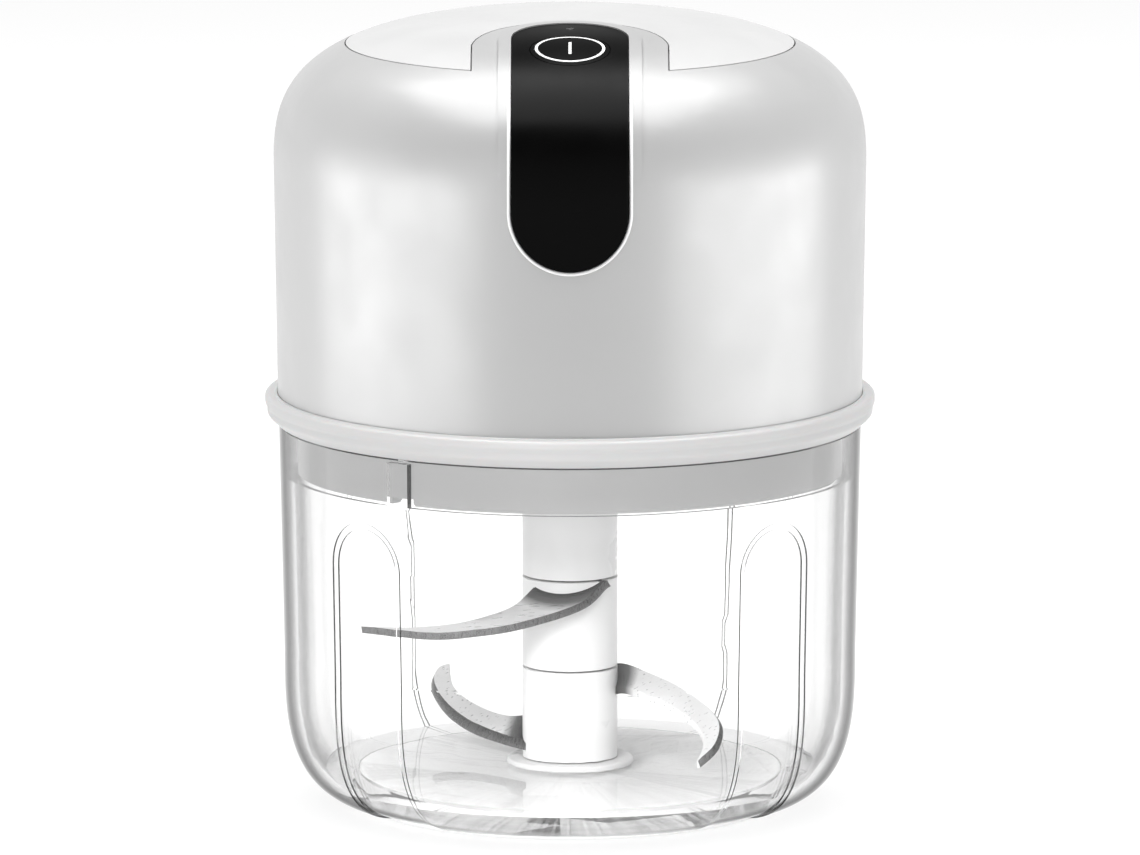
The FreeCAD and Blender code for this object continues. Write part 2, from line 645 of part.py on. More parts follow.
def make_carrier():
    """The plate that carries the planets, its pins, and the shaft and claw that turn with it."""
    carrier = tube(CARRIER_R, SHAFT_R, CARRIER_LOW, CARRIER_TOP)
    pins = []
    for number in range(3):
        x, y = polar(ORBIT_R, number * 120)
        carrier = carrier.cut(disc(PLANET_PIN_R, 61, 64, x, y))
        pins.append(disc(PLANET_PIN_R, CARRIER_LOW, GEAR_HIGH + 0.7, x, y))
    save("planet_carrier", carrier)
    save("planet_pins", *pins)
    save("output_shaft", disc(SHAFT_R, COUPLER_LOW, CARRIER_TOP))
    claw = disc(CLAW_CORE_R, SOCKET_LOW + 0.4, COUPLER_HIGH)
    for side in (0, 180):
        dog = wedge(0, CLAW_R, side - CLAW_SPAN / 2, CLAW_SPAN, SOCKET_LOW + 0.4, COUPLER_HIGH)
        claw = claw.fuse(dog)
    claw = claw.fuse(disc(4.4, COUPLER_HIGH, COUPLER_HIGH + 0.9))
    claw = claw.fuse(disc(5.6, COUPLER_HIGH + 0.9, COUPLER_HIGH + 2.5)).cut(disc(SHAFT_R, COUPLER_LOW, 60))
    save("drive_coupler", claw.removeSplitter())


def make_gearbox():
    places = ear_places()
    save("ring_gear", make_ring_gear())
    make_gearbox_screws(places)
    make_motor_plate(places)
    make_carrier()
    for number in range(3):
        planet = spur(PLANET_TEETH, PLANET_PIN_R + 0.05, GEAR_LOW, GEAR_HIGH, 0)
        planet.rotate(V(0, 0, 0), V(0, 0, 1), planet_phase(number * 120 - 90))
        x, y = polar(ORBIT_R, number * 120)
        planet.translate(V(x, y, 0))
        save("planet_gear_%d" % (number + 1), planet)
    save("sun_gear", spur(SUN_TEETH, ROTOR_SHAFT_R, GEAR_LOW - 0.2, 71.0, sun_phase()))


def planet_phase(angle):
    """Turns a planet so that it has a tooth in the ring's space on its outer side."""
    ring_pitch = 360.0 / RING_TEETH
    offset = angle % ring_pitch
    return angle - offset * RING_TEETH / PLANET_TEETH


def sun_phase():
    """Turns the sun so that a space faces the planet at the front."""
    angle = -90.0
    facing = angle + 180 - planet_phase(angle)
    planet_pitch = 360.0 / PLANET_TEETH
    past = (facing / planet_pitch) % 1.0
    sun_pitch = 360.0 / SUN_TEETH
    return angle + sun_pitch * (0.5 + past)


def make_motor():
    """The motor's fixed pieces: can, bearings, magnets, end cap, brushes and terminals."""
    can = tube(MOTOR_R, MOTOR_R - 1.0, MOTOR_LOW + 1.0, MOTOR_HIGH)
    can = can.fuse(tube(MOTOR_R, 3.0, MOTOR_LOW, MOTOR_LOW + 1.0))
    for side in (-MOTOR_SCREW_Y, MOTOR_SCREW_Y):
        can = can.cut(disc(SMALL_SCREW_R, MOTOR_LOW - 1, MOTOR_LOW + 2, 0, side))
    save("motor_can", can.removeSplitter())
    bearing = tube(3.0, ROTOR_SHAFT_R + 0.03, MOTOR_LOW - 0.6, MOTOR_LOW + 2.0)
    save("motor_bearings", bearing, tube(2.6, ROTOR_SHAFT_R + 0.03, MOTOR_HIGH + 0.4, MOTOR_HIGH + 2.2))
    magnet_low = MOTOR_LOW + 4
    magnets = [wedge(10.6, MOTOR_R - 1.0, start, 140, magnet_low, MOTOR_HIGH - 5) for start in (20, 200)]
    save("motor_magnets", *magnets)
    cap = tube(MOTOR_R, 2.6, MOTOR_HIGH, MOTOR_HIGH + 1.6)
    cap = cap.fuse(tube(4.2, 2.6, MOTOR_HIGH + 1.6, MOTOR_HIGH + 2.2))
    brushes = []
    tabs = []
    for side in (-1, 1):
        middle = side * TERMINAL_X
        cap = cap.cut(block(middle - 1.3, middle + 1.3, -0.5, 0.5, MOTOR_HIGH - 1, MOTOR_HIGH + 3))
        near, far = sorted((side * (COMMUTATOR_R + 0.05), side * (TERMINAL_X + 0.4)))
        brushes.append(block(near, far, -0.8, 0.8, BRUSH_LOW, BRUSH_HIGH))
        tabs.append(block(middle - 1.2, middle + 1.2, -0.3, 0.3, BRUSH_HIGH, MOTOR_HIGH + 4.6))
    save("motor_end_cap", cap.removeSplitter())
    save("motor_brushes", *brushes)
    save("motor_terminals", *tabs)


def make_rotor():
    """The motor's turning pieces: shaft, a core with three arms, a coil round each arm, commutator."""
    save("rotor_shaft", disc(ROTOR_SHAFT_R, GEAR_LOW - 0.2, MOTOR_HIGH + 2.4))
    core = disc(4.2, ROTOR_LOW, ROTOR_HIGH)
    coils = []
    for number in range(3):
        arm = wedge(8.6, 10.1, 120 * number - 44, 88, ROTOR_LOW, ROTOR_HIGH)
        neck = block(-1.2, 1.2, -9.2, 0, ROTOR_LOW, ROTOR_HIGH)
        core = core.fuse(arm).fuse(spun(neck, 120 * number))
        coil = block(-3.4, 3.4, -7.8, -4.6, ROTOR_LOW - 2, ROTOR_HIGH + 2)
        coil = coil.cut(block(-1.25, 1.25, -10, 0, ROTOR_LOW - 0.1, ROTOR_HIGH + 0.1))
        coils.append(spun(coil, 120 * number))
    save("rotor_core", core.cut(disc(ROTOR_SHAFT_R, 70, 100)).removeSplitter())
    save("rotor_windings", *coils)
    save("commutator", tube(COMMUTATOR_R, ROTOR_SHAFT_R, BRUSH_LOW - 0.8, BRUSH_HIGH + 0.8))


# ---- Battery and electronics -----------------------------------------------------------------

def make_battery():
    body = disc(CELL_R, CELL_LOW, CELL_HIGH - 1.0, CELL_X)
    save("battery_cell", fused(body, disc(2.8, CELL_HIGH - 1.0, CELL_HIGH, CELL_X)))
    cradle = tube(CELL_R + 1.3, CELL_R + 0.1, SHELL_LOW, CELL_LOW + 15, CELL_X)
    cradle = cradle.fuse(disc(CELL_R + 1.3, SHELL_LOW, CELL_LOW, CELL_X))
    cradle = cradle.cut(block(-19.5, 0, -20, 20, SHELL_LOW, 80)).removeSplitter()
    save("battery_cradle", cradle)
    save("battery_strap", tube(CELL_R + 0.9, CELL_R + 0.1, 84, 88, CELL_X))
    save("battery_tab", block(CELL_X - 2.2, CELL_X + 6, -1.6, 1.6, CELL_HIGH, CELL_HIGH + 0.3))


def make_main_board():
    save("main_board", block(-14, 14, 21.5, 37.0, BOARD_LOW, BOARD_TOP))
    charger = block(-11, -6, 24, 29, BOARD_TOP, BOARD_TOP + 1.6)
    driver = block(3, 7, 23.5, 27.5, BOARD_TOP, BOARD_TOP + 2.0)
    regulator = block(8.5, 12, 29, 33, BOARD_TOP, BOARD_TOP + 1.2)
    capacitor = disc(2.2, BOARD_TOP, BOARD_TOP + 5.3, -10.5, 32.5)
    save("board_components", charger, driver, regulator, capacitor)
    save("board_posts", *[tube(2.2, 0.9, SHELL_LOW, BOARD_LOW, side, 24.0) for side in (-11.8, 11.8)])


def make_usb_socket():
    body = usb_slot(USB_HALF, USB_HIGH, 31.5, 38.4)
    body = body.cut(usb_slot(USB_HALF - 0.3, USB_HIGH - 0.6, 32.5, 39))
    foot_half = USB_HALF - 1.4
    foot = block(-foot_half, foot_half, 31.5, 36.6, BOARD_TOP, USB_Z - USB_HIGH / 2 + 0.1)
    save("usb_socket", body.fuse(foot).removeSplitter())
    save("usb_tongue", block(-3.3, 3.3, 32.5, 37.6, USB_Z - 0.35, USB_Z + 0.35))


def make_switch():
    """The switch under the button: depths are along the button's axis, down from the surface."""
    board = button_block(11.0, 6.0, SWITCH_DEEP, SWITCH_DEEP + 1.0)
    save("switch_board", board.cut(button_block(1.2, 1.2, SWITCH_DEEP - 0.1, SWITCH_DEEP + 0.3)))
    switch = button_block(3.0, 3.0, SWITCH_DEEP - 3.5, SWITCH_DEEP)
    save("tact_switch", switch.cut(button_round(1.15, 5.0, SWITCH_DEEP - 1.5)))
    save("switch_board_posts", *[button_round(1.5, 6.6, SWITCH_DEEP, side) for side in (-8.6, 8.6)])


make_bowl()
make_blade_unit()
make_seal()
make_head()
make_button()
make_usb_cover()
make_gearbox()
make_motor()
make_rotor()
make_battery()
make_main_board()
make_usb_socket()
make_switch()
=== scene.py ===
import bmesh
import bpy
import json
from math import cos, pi, radians, sin, sqrt
from mathutils import Matrix, Vector
from mathutils.bvhtree import BVHTree


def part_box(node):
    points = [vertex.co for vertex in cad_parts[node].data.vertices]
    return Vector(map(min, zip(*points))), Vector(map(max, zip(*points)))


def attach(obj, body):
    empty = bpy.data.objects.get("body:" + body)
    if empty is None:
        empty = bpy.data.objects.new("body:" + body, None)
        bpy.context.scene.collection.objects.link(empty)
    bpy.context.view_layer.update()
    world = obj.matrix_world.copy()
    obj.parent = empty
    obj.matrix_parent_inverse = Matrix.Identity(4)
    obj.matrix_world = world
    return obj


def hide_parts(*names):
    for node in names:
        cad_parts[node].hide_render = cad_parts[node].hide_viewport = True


# The looks of a cordless mini food chopper: a glossy white motor head with a black strip on a clear
# fluted bowl. Shapes below are in millimetres and are turned into metres when a mesh is made.

MM = 0.001
SEGMENTS = 256           # round a lathed piece
SHARP_ANGLE = radians(38)
WHITE = (1.0, 1.0, 1.0, 1.0)

# The clear wall by how edge on it is seen, from 0, square on, to 1: its painted edge shade, a grey that stands in
# for the dark edges that reflection and refraction give, and how clear it is.
BOWL_EDGE_SHADES = ((0.0, 1.0), (0.455, 1.0), (0.475, 0.85), (0.52, 0.74), (0.56, 0.68), (0.6, 0.8),
              (0.66, 0.82), (0.7, 0.55), (0.75, 0.2), (0.82, 0.03))
# The lens: its own blue tint, darkened edge on by painted edge shade.
LENS_TINT_AND_EDGE_SHADES = ((0.0, (0.9, 0.95, 1.0)), (1.0, (0.6, 0.64, 0.7)))
CLEARNESS = ((0.0, 1.0), (0.64, 1.0), (0.71, 0.75), (0.78, 0.35), (0.84, 0.1), (1.0, 0.06))

# The blades' painted shade, darker towards the hub, where the head's dark underside is reflected: where it starts
# and ends, in metres from the axis, and its greys between the two.
PAINTED_SHADE_START = 0.004
PAINTED_SHADE_END = 0.014
PAINTED_SHADE_GREYS = ((0.0, 0.003), (0.3, 0.012), (0.45, 0.12), (0.62, 0.85))

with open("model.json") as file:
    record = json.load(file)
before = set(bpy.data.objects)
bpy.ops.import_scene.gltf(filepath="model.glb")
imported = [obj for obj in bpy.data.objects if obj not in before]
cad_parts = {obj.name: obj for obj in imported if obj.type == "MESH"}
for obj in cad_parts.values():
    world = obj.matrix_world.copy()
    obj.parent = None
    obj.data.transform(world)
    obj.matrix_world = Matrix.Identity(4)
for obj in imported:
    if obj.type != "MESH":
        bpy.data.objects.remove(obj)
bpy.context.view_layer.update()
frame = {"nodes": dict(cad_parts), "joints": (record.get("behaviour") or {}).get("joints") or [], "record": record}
NODES = frame["nodes"]


# ---- Nodes of a material ---------------------------------------------------------------------

class Shader:
    """A material's node tree, with short ways to add and link nodes."""

    def __init__(self, name):
        self.material = bpy.data.materials.new(name)
        self.material.use_nodes = True
        self.tree = self.material.node_tree
        self.tree.nodes.clear()
        self.output = self.add("ShaderNodeOutputMaterial")
        self.coords = self.add("ShaderNodeTexCoord").outputs["Object"]

    def add(self, kind, **settings):
        node = self.tree.nodes.new(kind)
        for key, value in settings.items():
            setattr(node, key, value)
        return node

    def link(self, source, target):
        self.tree.links.new(source, target)

    def principled(self, colour, roughness, **sockets):
        """The main shader, with what is the same all over set on its own sockets."""
        node = self.add("ShaderNodeBsdfPrincipled")
        node.inputs["Base Color"].default_value = (*colour, 1.0)
        node.inputs["Roughness"].default_value = roughness
        for key, value in sockets.items():
            node.inputs[key.replace("_", " ")].default_value = value
        self.link(node.outputs[0], self.output.inputs["Surface"])
        self.main = node
        return node.outputs[0]

    def stretched(self, scale):
        """The object's own coordinates, scaled by axis."""
        node = self.add("ShaderNodeMapping")
        node.inputs["Scale"].default_value = scale
        self.link(self.coords, node.inputs["Vector"])
        return node.outputs[0]

    def noise(self, scale, detail=3.0, roughness=0.5, vector=None):
        node = self.add("ShaderNodeTexNoise")
        node.inputs["Scale"].default_value = scale
        node.inputs["Detail"].default_value = detail
        node.inputs["Roughness"].default_value = roughness
        self.link(vector or self.coords, node.inputs["Vector"])
        return node.outputs["Fac"]

    def spread(self, value, low, high):
        """A 0..1 value spread between two numbers."""
        node = self.add("ShaderNodeMapRange")
        node.inputs["From Min"].default_value = 0.3
        node.inputs["From Max"].default_value = 0.7
        node.inputs["To Min"].default_value = low
        node.inputs["To Max"].default_value = high
        self.link(value, node.inputs["Value"])
        return node.outputs["Result"]

    def ramp(self, value, *stops):
        """A colour by value: stops are (place, grey or colour)."""
        node = self.add("ShaderNodeValToRGB")
        elements = node.color_ramp.elements
        while len(elements) < len(stops):
            elements.new(0.5)
        for element, (place, colour) in zip(elements, stops):
            rgb = (colour,) * 3 if isinstance(colour, float) else colour
            element.position = place
            element.color = (*rgb, 1.0)
        self.link(value, node.inputs["Fac"])
        return node.outputs["Color"]

    def fade_on_level(self, colour):
        """The colour on upright faces, fading to white on level ones."""
        split = self.add("ShaderNodeSeparateXYZ")
        normals = self.add("ShaderNodeTexCoord").outputs["Normal"]
        self.link(normals, split.inputs[0])
        level = self.add("ShaderNodeMath", operation="ABSOLUTE")
        self.link(split.outputs["Z"], level.inputs[0])
        fade = self.add("ShaderNodeMapRange", interpolation_type="SMOOTHSTEP")
        fade.inputs["From Min"].default_value = 0.85
        fade.inputs["From Max"].default_value = 0.97
        self.link(level.outputs[0], fade.inputs["Value"])
        mix = self.add("ShaderNodeMix", data_type="RGBA")
        self.link(fade.outputs["Result"], mix.inputs["Factor"])
        self.link(colour, mix.inputs["A"])
        mix.inputs["B"].default_value = WHITE
        return mix.outputs["Result"]

    def bump(self, height, strength, distance=0.0001):
        node = self.add("ShaderNodeBump")
        node.inputs["Strength"].default_value = strength
        node.inputs["Distance"].default_value = distance
        self.link(height, node.inputs["Height"])
        self.link(node.outputs["Normal"], self.main.inputs["Normal"])

    def vary(self, socket, value):
        self.link(value, self.main.inputs[socket])


def moulded(name, colour, roughness, mottle=0.02, grain=900.0, relief=0.05, **sockets):
    """Injection-moulded plastic or rubber: a faint mottle, uneven gloss and a fine skin."""
    shader = Shader(name)
    shader.principled(colour, roughness, **sockets)
    low = tuple(max(c - mottle, 0.0) for c in colour)
    high = tuple(min(c + mottle, 1.0) for c in colour)
    cloud = shader.noise(35.0, 4.0)
    shader.vary("Base Color", shader.ramp(cloud, (0.3, low), (0.7, high)))
    shader.vary("Roughness", shader.spread(shader.noise(120.0, 5.0), roughness * 0.85, roughness * 1.15))
    shader.bump(shader.noise(grain, 2.0), relief)
    return shader.material


def metal(name, colour, roughness, stretch=(1.0, 1.0, 1.0), relief=0.15, scale=600.0, **sockets):
    """Brushed or plated metal, with the grain drawn out along an axis."""
    shader = Shader(name)
    shader.principled(colour, roughness, Metallic=1.0, **sockets)
    grain = shader.noise(scale, 4.0, 0.6, shader.stretched(stretch))
    low = tuple(c * 0.86 for c in colour)
    shader.vary("Base Color", shader.ramp(grain, (0.3, low), (0.7, colour)))
    shader.vary("Roughness", shader.spread(grain, roughness * 0.7, roughness * 1.3))
    shader.bump(grain, relief, 0.00005)
    return shader.material


def blade_metal(name):
    """Polished blade steel, with painted shade that blackens it towards the hub, and fine grinding lines."""
    shader = Shader(name)
    shader.principled((0.9, 0.9, 0.9), 0.28, Metallic=0.55, Specular_IOR_Level=0.1)
    grain = shader.noise(2500.0, 3.0, 0.5, shader.stretched((0.1, 1.0, 1.0)))
    split = shader.add("ShaderNodeSeparateXYZ")
    shader.link(shader.coords, split.inputs[0])
    flat = shader.add("ShaderNodeCombineXYZ")
    for axis in ("X", "Y"):
        shader.link(split.outputs[axis], flat.inputs[axis])
    reach = shader.add("ShaderNodeVectorMath", operation="LENGTH")
    shader.link(flat.outputs[0], reach.inputs[0])
    place = shader.add("ShaderNodeMapRange")
    place.inputs["From Min"].default_value = PAINTED_SHADE_START
    place.inputs["From Max"].default_value = PAINTED_SHADE_END
    shader.link(reach.outputs["Value"], place.inputs["Value"])
    # Painted shade: the base colour goes black towards the hub, standing in for the dark reflection of the head's
    # underside.
    painted_shade = shader.ramp(place.outputs["Result"], *PAINTED_SHADE_GREYS)
    tone = shader.add("ShaderNodeMix", data_type="RGBA", blend_type="MULTIPLY")
    tone.inputs["Factor"].default_value = 1.0
    shader.link(painted_shade, tone.inputs["A"])
    shader.link(shader.ramp(grain, (0.3, 0.97), (0.7, 1.0)), tone.inputs["B"])
    shader.vary("Base Color", tone.outputs["Result"])
    shader.vary("Roughness", shader.spread(grain, 0.27, 0.3))
    shader.bump(grain, 0.01, 0.00001)
    return shader.material


def clear_plastic(name, tint_and_edge_shades, roughness, ior, air_tint):
    """Clear moulded plastic, with painted edge shade: greyer where it is seen edge on. Light reaches what it
    holds.
    """
    shader = Shader(name)
    surface = shader.principled((1.0, 1.0, 1.0), roughness, Transmission_Weight=1.0, IOR=ior,
                                Specular_IOR_Level=0.05)
    facing = shader.add("ShaderNodeLayerWeight").outputs["Facing"]
    # Painted edge shade: the base colour greys, and the wall grows less clear, where it is seen edge on, standing
    # in for the dark edges of reflection and refraction.
    shader.vary("Base Color", shader.fade_on_level(shader.ramp(facing, *tint_and_edge_shades)))
    shader.vary("Transmission Weight", shader.fade_on_level(shader.ramp(facing, *CLEARNESS)))
    shader.bump(shader.noise(60.0, 2.0), 0.004)
    path = shader.add("ShaderNodeLightPath")
    for ray in ("Is Shadow Ray", "Is Diffuse Ray"):
        open_air = shader.add("ShaderNodeBsdfTransparent")
        open_air.inputs["Color"].default_value = (*air_tint, 1.0)
        mix = shader.add("ShaderNodeMixShader")
        shader.link(path.outputs[ray], mix.inputs["Fac"])
        shader.link(surface, mix.inputs[1])
        shader.link(open_air.outputs[0], mix.inputs[2])
        surface = mix.outputs[0]
    shader.link(surface, shader.output.inputs["Surface"])
    return shader.material


def circuit_board(name):
    """Green solder mask with raised tracks."""
    shader = Shader(name)
    shader.principled((0.03, 0.22, 0.08), 0.35, Coat_Weight=0.3)
    cells = shader.add("ShaderNodeTexVoronoi", distance="CHEBYCHEV", feature="DISTANCE_TO_EDGE")
    cells.inputs["Scale"].default_value = 450.0
    shader.link(shader.coords, cells.inputs["Vector"])
    track = cells.outputs["Distance"]
    shader.vary("Base Color", shader.ramp(track, (0.05, (0.06, 0.34, 0.13)), (0.12, (0.02, 0.19, 0.07))))
    shader.bump(track, 0.2)
    return shader.material


def wound_copper(name):
    """Enamelled wire, wound in turns."""
    shader = Shader(name)
    shader.principled((0.72, 0.33, 0.15), 0.3, Metallic=1.0, Coat_Weight=0.5)
    turns = shader.add("ShaderNodeTexWave", bands_direction="Z")
    turns.inputs["Scale"].default_value = 700.0
    turns.inputs["Distortion"].default_value = 1.0
    shader.link(shader.coords, turns.inputs["Vector"])
    wire = turns.outputs["Fac"]
    shader.vary("Base Color", shader.ramp(wire, (0.2, (0.36, 0.13, 0.05)), (0.7, (0.8, 0.4, 0.2))))
    shader.bump(wire, 0.8)
    return shader.material


def cell_wrap(name):
    """A cell's shrink sleeve, with faint shrink lines."""
    shader = Shader(name)
    shader.principled((0.08, 0.2, 0.45), 0.25, Coat_Weight=0.6)
    lines = shader.noise(300.0, 4.0, 0.6, shader.stretched((1.0, 1.0, 0.1)))
    shader.vary("Base Color", shader.ramp(lines, (0.3, (0.06, 0.17, 0.4)), (0.7, (0.1, 0.24, 0.5))))
    shader.bump(lines, 0.15)
    return shader.material


def make_materials():
    """One material for each of the record's slots."""
    made = {
        "clear_plastic": clear_plastic("clear_bowl", BOWL_EDGE_SHADES, 0.0, 1.49, (0.96, 0.96, 0.96)),
        "led_clear": clear_plastic("clear_lens", LENS_TINT_AND_EDGE_SHADES, 0.1, 1.45, (0.9, 0.9, 0.9)),
        "shell_white": moulded("gloss_white", (0.365, 0.365, 0.365), 0.35, 0.006, 500.0, 0.02,
                               Specular_IOR_Level=1.0),
        "top_plate_white": moulded("satin_white", (0.46, 0.46, 0.46), 0.45, 0.006, 900.0, 0.05),
        "strip_black": moulded("piano_black", (0.001, 0.001, 0.001), 0.33, 0.0005, 400.0, 0.01,
                               Specular_IOR_Level=0.06),
        "button_black": moulded("button_black", (0.001, 0.001, 0.001), 0.33, 0.0005, 400.0, 0.01,
                                Specular_IOR_Level=0.06),
        "cover_grey": moulded("satin_grey", (0.43, 0.43, 0.43), 0.42, 0.01, 1200.0, 0.1),
        "hub_plastic": moulded("hub_white", (0.72, 0.72, 0.72), 0.3, 0.008, 900.0, 0.04, Coat_Weight=0.15),
        "core_plastic": moulded("core_white", (0.72, 0.72, 0.70), 0.45, 0.02),
        "seal_silicone": moulded("seal_white", (0.56, 0.56, 0.56), 0.4, 0.008, 1500.0, 0.06,
                                 Specular_IOR_Level=0.9, Subsurface_Weight=0.1, Subsurface_Scale=0.002),
        "pad_silicone": moulded("pad_white", (0.95, 0.95, 0.95), 0.8, 0.01, 1500.0, 0.1),
        "flap_silicone": moulded("flap_white", (0.78, 0.78, 0.78), 0.45, 0.01, 1500.0, 0.08),
        "blade_steel": blade_metal("blade_steel"),
        "spindle_steel": metal("polished_steel", (0.72, 0.72, 0.73), 0.16, (1.0, 1.0, 0.1)),
        "screw_steel": metal("zinc_plate", (0.62, 0.62, 0.64), 0.3),
        "bush_brass": metal("sintered_brass", (0.70, 0.50, 0.24), 0.4, relief=0.3),
        "motor_steel": metal("plated_steel", (0.60, 0.60, 0.61), 0.3, (1.0, 1.0, 0.05)),
        "terminal_metal": metal("tinned_brass", (0.75, 0.73, 0.68), 0.28),
        "gear_nylon": moulded("nylon", (0.76, 0.73, 0.64), 0.4, 0.02, 900.0, 0.1, Subsurface_Weight=0.1,
                              Subsurface_Scale=0.001),
        "coupler_plastic": moulded("coupler_black", (0.05, 0.05, 0.05), 0.4, 0.008, 900.0, 0.15),
        "magnet_ferrite": moulded("ferrite", (0.06, 0.06, 0.065), 0.6, 0.02, 1500.0, 0.4),
        "end_cap_plastic": moulded("black_plastic", (0.04, 0.04, 0.04), 0.4, 0.008, 900.0, 0.15),
        "winding_copper": wound_copper("enamelled_copper"),
        "cell_wrap": cell_wrap("shrink_sleeve"),
        "cradle_plastic": moulded("cradle_white", (0.66, 0.66, 0.65), 0.45, 0.02),
        "board_green": circuit_board("solder_mask"),
        "component_black": moulded("chip_black", (0.03, 0.03, 0.03), 0.5, 0.008, 1500.0, 0.3),
        "ground_edge": metal("ground_steel", (0.16, 0.16, 0.16), 0.3, (1.0, 1.0, 0.2), 0.03, 2500.0),
        "print_white": moulded("print_white", (0.85, 0.85, 0.85), 0.4, 0.01, 1500.0, 0.05),
        "lip_white": moulded("lip_white", (0.75, 0.75, 0.75), 0.35, 0.006, 900.0, 0.03),
    }
    for slot in frame["record"]["subparts"]:
        mesh = NODES[slot["node"]].data
        mesh.materials.clear()
        mesh.materials.append(made[slot["material_slot"]])
    return made


MATERIALS = make_materials()


# ---- Mesh helpers ----------------------------------------------------------------------------

def piece(name, points, faces, slot, body, material=None, ground=()):
    """A smooth mesh in place, given in millimetres, that rides on a body. Ground faces are darker."""
    mesh = bpy.data.meshes.new(name)
    mesh.from_pydata([Vector(p) * MM for p in points], [], faces)
    for index in ground:
        mesh.polygons[index].material_index = 1
    made = bmesh.new()
    made.from_mesh(mesh)
    bmesh.ops.remove_doubles(made, verts=made.verts, dist=0.001 * MM)
    bmesh.ops.recalc_face_normals(made, faces=made.faces)
    made.to_mesh(mesh)
    made.free()
    mesh.shade_smooth()
    mesh.set_sharp_from_angle(angle=SHARP_ANGLE)
    mesh.materials.append(material or MATERIALS[slot])
    if ground:
        mesh.materials.append(MATERIALS["ground_edge"])
    obj = bpy.data.objects.new(name, mesh)
    bpy.context.scene.collection.objects.link(obj)
    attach(obj, body)
    return obj


def rounded(profile, radius, steps=5):
    """A closed profile with its corners rounded."""
    made = []
    count = len(profile)
    for i, corner in enumerate(profile):
        here = Vector(corner)
        before = Vector(profile[i - 1]) - here
        after = Vector(profile[(i + 1) % count]) - here
        reach = min(radius, before.length * 0.45, after.length * 0.45)
        start = here + before.normalized() * reach
        end = here + after.normalized() * reach
        for step in range(steps + 1):
            t = step / steps
            made.append(start * (1 - t) ** 2 + here * 2 * t * (1 - t) + end * t ** 2)
    return [tuple(p) for p in made]


def lathe(name, profile, slot, body, segments=SEGMENTS):
    """A closed (radius, height) profile turned about the axis."""
    points = []
    faces = []
    count = len(profile)
    for s in range(segments):
        angle = 2 * pi * s / segments
        points += [(r * cos(angle), r * sin(angle), z) for r, z in profile]
    for s in range(segments):
        here = s * count
        there = (s + 1) % segments * count
        for i in range(count):
            j = (i + 1) % count
            faces.append((here + i, there + i, there + j, here + j))
    return piece(name, points, faces, slot, body)


# ---- Sealing ring and pad --------------------------------------------------------------------

def make_seal():
    low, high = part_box("seal_ring")
    bottom = low.z / MM
    top = high.z / MM
    out = high.x / MM
    profile = [(40.4, bottom), (41.9, bottom), (out - 0.3, bottom + 1.4), (out - 0.3, bottom + 2.4),
               (out, bottom + 2.9), (out, top - 0.3), (out - 0.4, top), (42.35, top), (42.3, top + 0.1),
               (41.93, top + 0.1), (41.93, 57.5), (40.4, 57.5)]
    seal = lathe("silicone_seal", rounded(profile, 0.35), "seal_silicone", "seal")
    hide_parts("seal_ring")


def make_pad():
    low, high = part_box("non_slip_pad")
    out = high.x / MM
    top = high.z / MM
    profile = [(3.0, top), (3.0, 0.0)]
    for ring in range(6):
        start = 6.0 + 4.0 * ring
        profile += [(start, 0.0), (start + 0.3, 0.4), (start + 1.0, 0.4), (start + 1.3, 0.0)]
    profile += [(out - 0.5, 0.0), (out, 0.5), (out, top)]
    pad = lathe("silicone_pad", rounded(profile, 0.2, 3), "pad_silicone", "bowl")
    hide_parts("non_slip_pad")


FLAP_CELL = 0.11         # size of the cells that the flap is remeshed with
FLAP_SHRINK = (0.98, 1.0, 0.97, 1.0)   # leaves room to swing in the shell's opening


def make_flap():
    """The charging flap: the CAD solid's shape with every edge softened, as moulded silicone is."""
    mesh = NODES["usb_cover"].data.copy()
    mesh.transform(Matrix.Scale(1 / MM, 4))
    flap = bpy.data.objects.new("silicone_flap", mesh)
    bpy.context.scene.collection.objects.link(flap)
    cells = flap.modifiers.new("cells", "REMESH")
    cells.mode = "VOXEL"
    cells.voxel_size = FLAP_CELL
    soften = flap.modifiers.new("soften", "SMOOTH")
    soften.factor = 0.5
    soften.iterations = 5
    seen = flap.evaluated_get(bpy.context.evaluated_depsgraph_get())
    made = bpy.data.meshes.new_from_object(seen)
    low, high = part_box("usb_cover")
    middle = Matrix.Translation((low + high) / 2 / MM)
    shrink = Matrix.Diagonal(FLAP_SHRINK)
    made.transform(Matrix.Scale(MM, 4) @ middle @ shrink @ middle.inverted())
    made.shade_smooth()
    made.materials.clear()
    made.materials.append(MATERIALS["flap_silicone"])
    flap.modifiers.clear()
    flap.data = made
    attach(flap, "usb_flap")
    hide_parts("usb_cover")


# ---- Blades ----------------------------------------------------------------------------------

BLADE_THICK = 0.8
GRIND = 0.55             # width of the ground edge
EDGE_THICK = 0.12


def smooth_line(points, count):
    """A smooth line through the points, as evenly spaced ones."""
    ends = [points[0]] + points + [points[-1]]
    fine = []
    for before, start, end, after in zip(ends, ends[1:], ends[2:], ends[3:]):
        p0, p1, p2, p3 = (Vector(p) for p in (before, start, end, after))
        for step in range(24):
            t = step / 24
            fine.append(0.5 * (2 * p1 + (p2 - p0) * t + (2 * p0 - 5 * p1 + 4 * p2 - p3) * t * t
                               + (3 * p1 - p0 - 3 * p2 + p3) * t ** 3))
    fine.append(Vector(points[-1]))
    lengths = [0.0]
    for a, b in zip(fine, fine[1:]):
        lengths.append(lengths[-1] + (b - a).length)
    made = []
    place = 0
    for i in range(count):
        want = lengths[-1] * i / (count - 1)
        while place < len(fine) - 2 and lengths[place + 1] < want:
            place += 1
        span = lengths[place + 1] - lengths[place]
        t = (want - lengths[place]) / span if span else 0.0
        made.append(fine[place].lerp(fine[place + 1], min(t, 1.0)))
    return made


